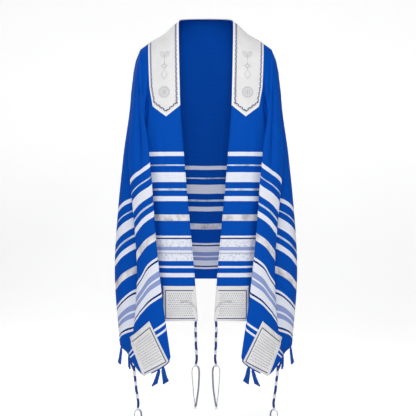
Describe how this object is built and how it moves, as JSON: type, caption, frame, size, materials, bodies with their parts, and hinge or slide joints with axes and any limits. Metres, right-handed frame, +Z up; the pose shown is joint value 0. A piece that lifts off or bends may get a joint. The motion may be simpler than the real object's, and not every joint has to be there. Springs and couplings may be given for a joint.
{
  "type": "tallit prayer shawl",
  "caption": "Blue and white striped prayer shawl, worn open over the shoulders, with a satin neckband, corner patches, knotted corner cords and hem tassels.",
  "frame": {"origin": "midway between the wearer's shoulders, level with the side of the neck, where the wearer holds the shawl up", "axes": "+Z up; the open front faces -Y; +X is the wearer's left"},
  "size_m": [0.5898, 0.2997, 1.3904],
  "materials": {
    "woven_cloth": "matt woven cloth, deep blue, with woven white, silver and pale violet-blue stripes",
    "satin": "off-white satin with silver-grey braid and pale embroidery",
    "wound_cord": "white cord wound with dark blue",
    "twisted_yarn": "deep blue twisted yarn"
  },
  "bodies": {
    "root": {"shawl_front_left": "woven_cloth", "shawl_front_right": "woven_cloth", "shawl_back": "woven_cloth", "atarah": "satin", "corner_patch_inner_left": "satin", "corner_patch_inner_right": "satin", "corner_patch_outer_left": "satin", "corner_patch_outer_right": "satin", "tzitzit_inner_left": "wound_cord", "tzitzit_inner_right": "wound_cord", "tzitzit_outer_left": "wound_cord", "tzitzit_outer_right": "wound_cord", "fringe_front_left": "twisted_yarn", "fringe_front_right": "twisted_yarn", "fringe_side_left": "twisted_yarn", "fringe_side_right": "twisted_yarn"}
  },
  "joints": []
}
